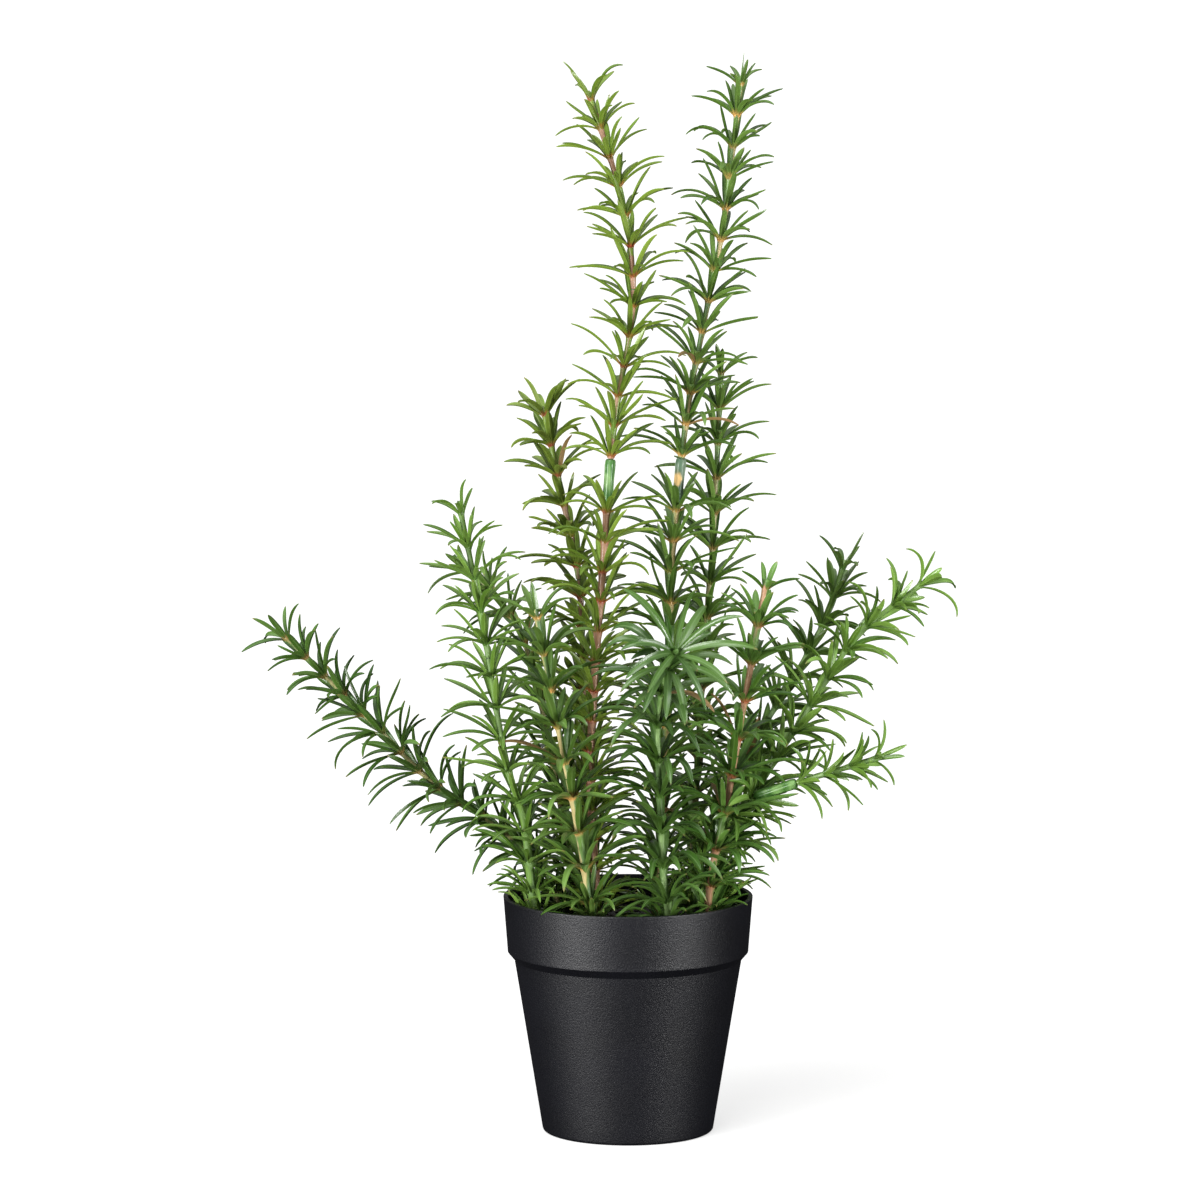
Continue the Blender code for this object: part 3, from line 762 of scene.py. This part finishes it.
class Room:
    def __init__(self):
        self.taken = {}
        near = (-1, 0, 1)
        self.around = [(i, j, k) for i in near for j in near for k in near]

    def key(self, p):
        cell = leafRoom["cell"]
        return math.floor(p.x / cell), math.floor(p.y / cell), math.floor(p.z / cell)

    def add(self, points, owner, room):
        for p in points:
            self.taken.setdefault(self.key(p), []).append((p.copy(), owner, room))

    def crowding(self, points, owner, own):
        # how far the points reach into places that others took, in metres
        total = 0.0
        for p in points:
            x, y, z = self.key(p)
            for i, j, k in self.around:
                for other, who, room in self.taken.get((x + i, y + j, z + k), ()):
                    if who != owner and who != own:
                        total += max(0.0, room - (other - p).length)
        return total


def potCrowding(points):
    total = 0.0
    inner, outer = rimRadius - pot["wall"] - leafRoom["pot"], rimRadius + leafRoom["pot"]
    for p in points:
        reach = math.hypot(p.x, p.y)
        total += max(0.0, soilTop + 0.002 - p.z) * 2
        if p.z < potHigh + leafRoom["pot"] and inner < reach < outer:
            total += min(reach - inner, outer - reach) * 3
    return total


# Leaves: narrow straps, hollowed above and keeled below, that arch out of a whorl

leafCut = {
    "stations": (               # shares of its length at which it has a ring of points
        0.0, 0.03, 0.07, 0.13, 0.20, 0.28, 0.37, 0.46, 0.55, 0.64, 0.73, 0.81, 0.88, 0.94, 0.98,
    ),
    "section": (                # across, how far folded up, how far down to the underside
        (-1.0, 0.30, 0.0), (-0.5, 0.09, 0.0), (0.0, -0.06, 0.0), (0.5, 0.09, 0.0),
        (1.0, 0.30, 0.0), (0.64, 0.16, -0.9), (0.0, -0.10, -1.25), (-0.64, 0.16, -0.9),
    ),
    "thickness": 0.00052,
    "lengths": (0.74, 1.14),    # how much they vary from the shoot's own leaf
    "widths": (0.84, 1.12),
    "unevenTurn": 0.28,         # how far off its even place round the stem
    "root": 0.0016,             # how far below the whorl it starts
    "sheath": 0.09,             # the share of a leaf that hugs the stem
    "sheathAngle": 8,           # degrees from the stem
    "outer": {"rise": (34, 58), "spread": (62, 110)},       # degrees at its foot and at its end
    "inner": {"rise": (14, 28), "spread": (20, 56)},
    "innerLength": 0.84,
    "youngShorter": 0.24,       # the leaves at a tip, and
    "youngDepth": 5,            # less so for this many whorls under it
    "sweep": 0.20,
    "twist": 0.24,
    "curl": 0.6,
    "hooked": 0.12,             # share of leaves whose end turns down hard
    "hook": 2.4,
    "lowHeight": 0.125,         # whorls under this have more leaves, shorter and narrower
    "lowMore": 3,
    "lowLength": 0.88,
    "lowWidth": 0.66,
    "dry": 0.992,               # tints above this are dry leaves
}


def leafWidthAt(t):
    swell = 0.50 + 0.50 * eased(0.0, 0.40, t)
    taper = 1.0 if t < 0.55 else max(0.0, 1 - ((t - 0.55) / 0.45) ** 2.5) ** 0.75
    return max(swell * taper, 0.08)


def leafLine(at, radius, habit):
    # the middle, width direction and upper side of a leaf at each of its stations
    place, along, across, beside = at
    sheath = math.radians(leafCut["sheathAngle"])
    rows = []
    point, last = None, 0.0
    for t in (*leafCut["stations"], 1.0):
        angle = mixed(sheath, habit["rise"], eased(0.0, leafCut["sheath"], t))
        angle += (habit["spread"] - habit["rise"]) * t ** 0.9
        angle += habit["curl"] * max(0.0, t - 0.45) ** 2
        turn = habit["turn"] + habit["sweep"] * t * t
        outward = across * math.cos(turn) + beside * math.sin(turn)
        ahead = along * math.cos(angle) + outward * math.sin(angle)
        ahead = (ahead - Vector((0, 0, habit["droop"] * t * t))).normalized()
        if point is None:
            point = place + outward * radius - along * leafCut["root"]
        point = point + ahead * (t - last) * habit["length"]
        last = t
        side = along.cross(outward)
        side = (side - ahead * side.dot(ahead)).normalized()
        twist = habit["twist"] * eased(0.05, 1.0, t)
        upper = ahead.cross(side).normalized()
        side = side * math.cos(twist) + upper * math.sin(twist)
        rows.append((point, side, ahead.cross(side).normalized()))
    return rows


def fitLeaf(room, siblings, at, radius, habit, owner, own, chance):
    # the least crowded of several tries; a leaf that meets the pot is lifted a little each time
    best, least = None, None
    lift, stray = 0.0, leafRoom["stray"]
    for attempt in range(leafRoom["tries"]):
        trial = dict(habit)
        if attempt:
            trial["turn"] += chance.uniform(-stray, stray)
            trial["spread"] += chance.uniform(-stray, stray) - lift
            trial["rise"] = max(0.15, trial["rise"] - lift)
            trial["sweep"] += chance.uniform(-stray, stray)
            trial["length"] *= 1 - 0.02 * attempt
        rows = leafLine(at, radius, trial)
        points = [row[0] for row in rows[3:]]
        inPot = potCrowding(points)
        crowding = inPot + room.crowding(points[1:], owner, own)
        crowding += siblings.crowding(points[2:], None, None)
        if inPot > 0:
            lift += 0.12
        if least is None or crowding < least:
            best, least = rows, crowding
        if crowding < leafRoom["enough"]:
            break
    return best


class Body:
    # points, faces and their values for one piece, gathered before its mesh is made

    def __init__(self):
        self.points, self.faces, self.finishes = [], [], []
        self.leafPlace, self.stemPlace, self.under = [], [], []

    def add(self, points, leafPlace=(0, 0, 0), stemPlace=(0, 0, 0), under=0.0):
        first = len(self.points)
        self.points += points
        for values, given in ((self.leafPlace, leafPlace), (self.stemPlace, stemPlace)):
            values += given if isinstance(given, list) else [given] * len(points)
        self.under += under if isinstance(under, list) else [under] * len(points)
        return list(range(first, first + len(points)))

    def face(self, corners, finish):
        self.faces.append(corners)
        self.finishes.append(finish)

    def join(self, first, second, finish):
        sides = len(first)
        for i in range(sides):
            k = (i + 1) % sides
            self.face((first[i], first[k], second[k], second[i]), finish)

    def piece(self, name, finishes, sharpAngle):
        mesh = bpy.data.meshes.new(name)
        mesh.from_pydata(self.points, [], self.faces)
        mesh.polygons.foreach_set("material_index", self.finishes)
        for kind, label, values in (("FLOAT_VECTOR", "leafPlace", self.leafPlace),
                                    ("FLOAT_VECTOR", "stemPlace", self.stemPlace),
                                    ("FLOAT", "underside", self.under)):
            made = mesh.attributes.new(label, kind, "POINT")
            flat = [v for row in values for v in row] if kind == "FLOAT_VECTOR" else values
            made.data.foreach_set("vector" if kind == "FLOAT_VECTOR" else "value", flat)
        bm = bmesh.new()
        bm.from_mesh(mesh)
        bpy.data.meshes.remove(mesh)
        return smoothPiece(name, bm, finishes, sharpAngle)


def growLeaf(body, rows, width, tint):
    section = leafCut["section"]
    lower = [1.0 if down else 0.0 for x, fold, down in section]
    rings = []
    stations = (*leafCut["stations"], 1.0)
    for t, (point, side, upper) in zip(stations[:-1], rows):
        half = width / 2 * leafWidthAt(t)
        thick = leafCut["thickness"] * (0.55 + 0.45 * leafWidthAt(t))
        ring = [point + side * (x * half) + upper * (fold * half + down * thick)
                for x, fold, down in section]
        rings.append(body.add(ring, [(x, t, tint) for x, fold, down in section], under=lower))
    for first, second in zip(rings, rings[1:]):
        body.join(first, second, 0)
    body.face(tuple(reversed(rings[0])), 0)
    tip = body.add([rows[-1][0]], [(0.0, 1.0, tint)], under=[0.5])[0]
    last = rings[-1]
    for i in range(len(last)):
        body.face((last[i], last[(i + 1) % len(last)], tip), 0)


def growWhorl(body, plan, shoot, length, room, chance):
    fromTip = plan["whorls"][::-1].index(length)
    at = plan["line"].at(length)
    isTop = fromTip == 0
    top = {"leaves": 6, "young": 1.0, "upright": 2, "reach": 1.0, "width": 1.0,
           "spread": leafCut["outer"]["spread"]} | shoot.get("top", {})
    isLow = at[0].z < leafCut["lowHeight"]
    count = top["leaves"] if isTop else shoot["leaves"] + leafCut["lowMore"] * isLow
    young = max(0.0, 1 - fromTip / leafCut["youngDepth"]) * top["young"]
    radius = stemThickness(plan, shoot, length)
    leaf = shoot["leaf"] * (1 - leafCut["youngShorter"] * young)
    start, uneven = chance.uniform(0, math.tau), leafCut["unevenTurn"]
    owner, siblings = (shoot["node"], fromTip), Room()
    for i in range(count):
        inner = i < top["upright"] if isTop else i % 3 == 2
        habits = leafCut["inner" if inner else "outer"]
        spread = top["spread"] if isTop and not inner else habits["spread"]
        hooked = chance.random() < leafCut["hooked"] and not inner
        habit = {
            "turn": start + math.tau * (i + chance.uniform(-uneven, uneven)) / count,
            "rise": math.radians(chance.uniform(*habits["rise"])) * (1 - 0.25 * young),
            "spread": math.radians(chance.uniform(*spread)) * (1 - 0.10 * young),
            "sweep": chance.uniform(-1, 1) * leafCut["sweep"],
            "twist": chance.gauss(0, 1) * leafCut["twist"],
            "curl": leafCut["hook"] if hooked else chance.gauss(0.35, 1) * leafCut["curl"],
            "droop": shoot["droop"] * chance.uniform(0.4, 1.6),
            "length": leaf * chance.uniform(*leafCut["lengths"]),
        }
        if isTop:
            habit["length"] *= top["reach"]
        if isLow:
            habit["length"] *= leafCut["lowLength"]
        if inner:
            habit["length"] *= leafCut["innerLength"]
        if inner and isTop and i == 0:      # the one in the middle of a tip
            habit["spread"] *= 0.4
            habit["rise"] *= 0.3
        rows = fitLeaf(room, siblings, at, radius * 0.86, habit, owner, shoot["node"], chance)
        width = shoot["leafWidth"] * chance.uniform(*leafCut["widths"]) * (1 - 0.12 * young)
        width *= leafCut["lowWidth"] if isLow else top["width"] if isTop else 1.0
        growLeaf(body, rows, width, chance.random() * (0.98 if isTop or isLow else 1.0))
        points = [row[0] for row in rows]
        room.add(points[3:], owner, leafRoom["leaf"])
        siblings.add(points[5:], owner, leafRoom["sibling"])


def stemThickness(plan, shoot, length):
    whole = plan["line"].lengths[-1]
    share = (whole - length) / min(whole, stemCut["fullAt"])
    return mixed(shoot["stemTip"], shoot["stemFoot"], eased(0.25, 1.0, share))


def stemRadius(plan, shoot, length, whorls):
    # widens into the foot of each whorl and draws in above it
    away, nearest = min((abs(whorl - length), whorl) for whorl in whorls)
    reach = stemCut["flareAbove"] if length > nearest else stemCut["flareBelow"]
    swell = math.exp(-(away / reach) ** 2)
    return stemThickness(plan, shoot, length) * (1 + stemCut["flare"] * swell), swell


def growTube(body, plan, shoot, section, isTop):
    line, sides = plan["line"], stemCut["sides"]
    turns = [math.tau * i / sides for i in range(sides)]
    bareTurns = [(math.cos(t), math.sin(t)) for t in turns]

    def bareness(length):
        # kept with the values that say "underside" on a leaf; the stem's finish reads it
        height = line.at(length)[0].z
        if "bareFrom" in shoot:
            return 0.1 + 1.2 * any(low < height < high for low, high in shoot["bareFrom"])
        below = [whorl for whorl in plan["whorls"] if whorl < length]
        vary = random.Random(f"{shoot['node']} {len(below)}").uniform(-0.2, 1.5)
        fromTip = line.lengths[-1] - length
        vary *= eased(0.6, 1.2, fromTip / shoot["greenTip"])
        return vary * eased(shoot["greenFoot"] - 0.004, shoot["greenFoot"] + 0.004, height)

    def ring(length, radius, swell, shift=0.0):
        place, along, across, beside = line.at(length)
        points = [place + along * shift + (across * c + beside * s) * radius for c, s in bareTurns]
        return body.add(points, stemPlace=[(c, s, swell) for c, s in bareTurns], under=bareness(length))

    start, end, whorls = section["start"], section["end"], section["whorls"]
    count = round((end - start) / stemCut["step"])
    outside = [mixed(start, end, i / count) for i in range(count + 1)]
    if isTop:
        outside = [length for length in outside if length < plan["whorls"][-1]]
    boreStops = [start, *whorls] + ([] if isTop else [end])
    bore = [ring(stop, stemCut["bore"], 0.0) for stop in reversed(boreStops)]
    last = ring(start, stemThickness(plan, shoot, start) * 0.93, 0.0)
    for first, second in zip(bore, bore[1:]):
        body.join(first, second, 1)
    body.join(bore[-1], last, 1)
    for length in outside:
        radius, swell = stemRadius(plan, shoot, length, whorls)
        now = ring(length, radius, swell, 0.0002 if length == start else 0.0)
        body.join(last, now, 1)
        last = now
    if isTop:
        tipRadius = stemThickness(plan, shoot, end)
        for share in (0.15, 0.5, 0.8, 0.95):
            length = mixed(plan["whorls"][-1], end, share)
            now = ring(length, tipRadius * math.sqrt(1 - share * share), 0.3)
            body.join(last, now, 1)
            last = now
        for reach, radius in stemCut["point"] if shoot["needle"] else ():
            now = ring(end, radius, 0.0, 0.0002 + reach * shoot["needle"])
            body.join(last, now, 1)
            last = now
        body.face(tuple(last), 1)
        body.face(tuple(bore[0]), 1)
    else:
        now = ring(end, stemThickness(plan, shoot, end) * 0.93, 0.0)
        body.join(last, now, 1)
        body.join(now, bore[0], 1)


# Finishes of leaves and stems

leafGloss = {"rough": (0.26, 0.40), "specular": 0.5, "veins": 0.00007}
dryColour = (0.20, 0.125, 0.05)
brownTip = (0.30, 0.19, 0.08)


def leafFinish(name, green, skin):
    paint = Paint("leaf." + name)
    x, t, tint = paint.split(paint.attribute("leafPlace").outputs["Vector"])
    under = paint.attribute("underside").outputs["Fac"]
    place = paint.place()
    cloud = paint.noise(place, 90, 3)
    fleck = paint.noise(place, 700, 2)
    vary = paint.math("ADD", paint.math("MULTIPLY", tint, 0.75), paint.math("MULTIPLY", cloud, 0.5))
    colour = paint.mix(paint.ramp(vary, 0.15, 1.0), green["deep"], green["pale"])
    lengthwise = paint.nodes.new("ShaderNodeCombineXYZ")
    paint.put(lengthwise.inputs[0], paint.math("MULTIPLY", x, 3.2))
    paint.put(lengthwise.inputs[1], paint.math("MULTIPLY", t, 1.3))
    paint.put(lengthwise.inputs[2], paint.math("MULTIPLY", tint, 37.0))
    streak = paint.noise(lengthwise.outputs[0], 2.2, 3)
    colour = paint.mix(paint.ramp(streak, 0.35, 0.75, 0.0, 0.45), colour, green["pale"])
    # Painted highlight: a stripe down the middle of the upper side, broken up by the streaks, and a
    # faint band along the margins, in a green paler than the leaf's palest
    distance = paint.math("ABSOLUTE", x)
    rib = paint.ramp(distance, 0.03, 0.30, 1.0, 0.0)
    rib = paint.math("MULTIPLY", rib, paint.ramp(streak, 0.3, 0.6, 0.15, 0.65))
    edge = paint.ramp(distance, 0.85, 1.0, 0.0, 0.15)
    # the colour of the painted highlight
    paler = tuple(min(1.0, c * 1.25 + 0.03) for c in green["pale"])
    colour = paint.mix(paint.math("MAXIMUM", rib, edge), colour, paler)
    colour = paint.mix(paint.math("MULTIPLY", under, 0.5), colour, green["under"])
    tip = paint.ramp(paint.math("ADD", t, paint.math("MULTIPLY", tint, 0.10)), 0.99, 1.08, 0.0, 0.8)
    colour = paint.mix(tip, colour, paint.mix(0.5, green["deep"], brownTip))
    reach = paint.math("ADD", 0.10, paint.math("MULTIPLY", streak, 0.24))
    root = paint.math("SUBTRACT", 1.0, paint.ramp(t, 0.03, reach))
    # Leaf feet: the upper side, in the axil, takes the joint's colour darkened as painted shade, and
    # the underside takes the joint's own colour
    foot = paint.mix(under, skin["shadedAxil"], skin["root"])
    uneven = paint.ramp(paint.noise(place, 130, 2), 0.36, 0.60, 0.30, 0.95)
    colour = paint.mix(paint.math("MULTIPLY", root, uneven), colour, foot)
    dry = paint.ramp(tint, leafCut["dry"], leafCut["dry"] + 0.003)
    colour = paint.mix(dry, colour, dryColour)
    veins = paint.math("ADD", streak, paint.math("MULTIPLY", fleck, 0.35))
    paint.bump(veins, leafGloss["veins"], 0.7)
    rough = paint.ramp(streak, 0.25, 0.8, *leafGloss["rough"])
    return paint.set(Base_Color=colour, Roughness=rough, Specular_IOR_Level=leafGloss["specular"])


def stemFinish(name, shoot, green, skin):
    paint = Paint("stem." + name)
    cosine, sine, swell = paint.split(paint.attribute("stemPlace").outputs["Vector"])
    place = paint.place()
    side = math.radians(shoot["tanSide"])
    facing = paint.math("ADD", paint.math("MULTIPLY", cosine, math.cos(side)),
                        paint.math("MULTIPLY", sine, math.sin(side)))
    streak = paint.noise(place, 520, 3, (1, 1, 0.12))
    patch = paint.noise(place, 60, 2)
    ragged = paint.wander(facing, streak, 1.2)
    ragged = paint.wander(ragged, patch, 1.6)
    vary = paint.attribute("underside").outputs["Fac"]
    limit = paint.math("SUBTRACT", 1.0, paint.math("MULTIPLY", vary, 2 * shoot["bareShare"]))
    bare = paint.ramp(paint.math("SUBTRACT", ragged, limit), -0.25, 0.35)
    greenSkin = paint.mix(paint.ramp(streak, 0.35, 0.75), green["pale"], skin["sap"])
    paler = tuple(c * 1.25 + 0.02 for c in skin["bare"])
    bareSkin = paint.mix(paint.ramp(streak, 0.3, 0.75), skin["bare"], paler)
    colour = paint.mix(bare, greenSkin, bareSkin)
    reached = paint.wander(swell, streak, 0.5)
    uneven = paint.ramp(paint.noise(place, 130, 2), 0.38, 0.60, 0.15, 0.8)
    reached = paint.math("MULTIPLY", paint.ramp(reached, 0.45, 1.0), uneven)
    colour = paint.mix(reached, colour, skin["root"])
    paint.bump(streak, 0.0001, 0.7)
    rough = paint.ramp(streak, 0.3, 0.75, 0.36, 0.55)
    return paint.set(Base_Color=colour, Roughness=rough)


# Thick sleeves where two lengths of stem meet

sleeveGreens = {
    # for each green, a deep tone and a whitish pale one that stands for sheen
    "yellow": ((0.045, 0.135, 0.030), (0.170, 0.290, 0.110)),
    "dark": ((0.065, 0.120, 0.070), (0.220, 0.280, 0.190)),
    "bright": ((0.050, 0.140, 0.025), (0.140, 0.270, 0.075)),
}
sleevePatches = {"tallRight": (0.660, 0.440, 0.180)}        # tan paint on its front


def sleeveFinish(name, green, patchColour):
    paint = Paint("sleeve." + name)
    cosine, sine, t = paint.split(paint.attribute("stemPlace").outputs["Vector"])
    place = paint.place()
    streak = paint.noise(place, 420, 3, (1, 1, 0.15))
    spot = paint.noise(place, 150, 2)
    # lengthwise streaks of the whitish pale green: painted sheen
    colour = paint.mix(paint.ramp(streak, 0.42, 0.72), *sleeveGreens[green])
    frontLeft = paint.math("MULTIPLY", cosine, -0.6)
    frontLeft = paint.math("SUBTRACT", frontLeft, paint.math("MULTIPLY", sine, 0.8))
    middle = paint.math("ABSOLUTE", paint.math("SUBTRACT", t, 0.55))
    near = paint.math("MULTIPLY", frontLeft, 0.5)
    near = paint.math("SUBTRACT", near, paint.math("MULTIPLY", middle, 2.0))
    near = paint.wander(near, spot, 0.8)
    colour = paint.mix(paint.ramp(near, 0.05, 0.35), colour, patchColour)
    paint.bump(streak, 0.00012, 0.8)
    return paint.set(Base_Color=colour, Roughness=paint.ramp(streak, 0.3, 0.75, 0.3, 0.5))


def makeSleeve(label, shoot, plan, finish):
    body = Body()
    line, sides = plan["line"], 40
    start, end = plan["sleeve"]
    turns = [math.tau * i / sides for i in range(sides)]

    def ring(t, radius, ribbed):
        # soft lengthwise ribs that turn a little from end to end
        place, along, across, beside = line.at(mixed(start, end, t))
        points = []
        for turn in turns:
            rib = abs(math.cos(3.5 * turn + 1.2 * t)) ** 0.7
            grown = radius * (1 + 0.16 * ribbed * (rib - 0.6))
            points.append(place + (across * math.cos(turn) + beside * math.sin(turn)) * grown)
        return body.add(points, stemPlace=[(math.cos(turn), math.sin(turn), t) for turn in turns])

    full = stemCut["sleeveRadius"]
    shape = [(0.0, 0.66), (0.01, 0.82), (0.035, 0.93), (0.07, 0.99)]
    shape += [(0.07 + 0.86 * i / 14, 1.0 - 0.10 * math.sin(math.pi * i / 14)) for i in range(1, 14)]
    shape += [(0.965, 0.93), (0.99, 0.82), (1.0, 0.66)]
    rings = [ring(t, full * r, eased(0.0, 0.1, t) * eased(0.0, 0.1, 1 - t)) for t, r in shape]
    inner = [ring(1 - i / 4, stemCut["bore"], 0.0) for i in range(5)]
    loop = [*rings, *inner, rings[0]]
    for first, second in zip(loop, loop[1:]):
        body.join(first, second, 0)
    piece = body.piece("sleeve." + label, [finish], 45)
    keepPiece(piece, "sleeve", "collar_" + shoot["node"])


def makeShoots():
    room = Room()
    plans = {label: planShoot(shoot) for label, shoot in shoots.items()}
    for label, plan in plans.items():
        above = [p for p in plan["line"].route if p.z > soilTop]
        room.add(above, shoots[label]["node"], leafRoom["stem"])
    coreFinish = stemFinish("core", {"tanSide": 0, "bareShare": 0.3}, leafGreens["mid"], skins["olive"])
    for order, (label, shoot) in enumerate(shoots.items()):
        plan = plans[label]
        chance = random.Random(40 + order)
        tone, skin = shoot["tone"], skins[shoot["skin"]]
        greens = leafGreens[shoot["green"]]
        green = {part: tuple(c * tone for c in colour) for part, colour in greens.items()}
        leaves = leafFinish(label, green, skin)
        stem = stemFinish(label, shoot, green, skin)
        for number, section in enumerate(plan["sections"]):
            body = Body()
            growTube(body, plan, shoot, section, number == len(plan["sections"]) - 1)
            for length in section["whorls"]:
                growWhorl(body, plan, shoot, length, room, chance)
            piece = body.piece(f"sprig.{label}{number + 1}", [leaves, stem], 48)
            keepPiece(piece, "leaves_" + shoot["green"], f"sprig_{shoot['node']}_{number + 1}")
        if plan["sleeve"]:
            patchColour = sleevePatches.get(label, sleeveGreens[shoot["green"]][1])
            makeSleeve(label, shoot, plan, sleeveFinish(label, shoot["green"], patchColour))
        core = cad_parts["stem_" + shoot["node"]]
        core.data.materials.clear()
        core.data.materials.append(coreFinish)
        print("grown:", label, len(plan["whorls"]), "whorls")


makeShoots()
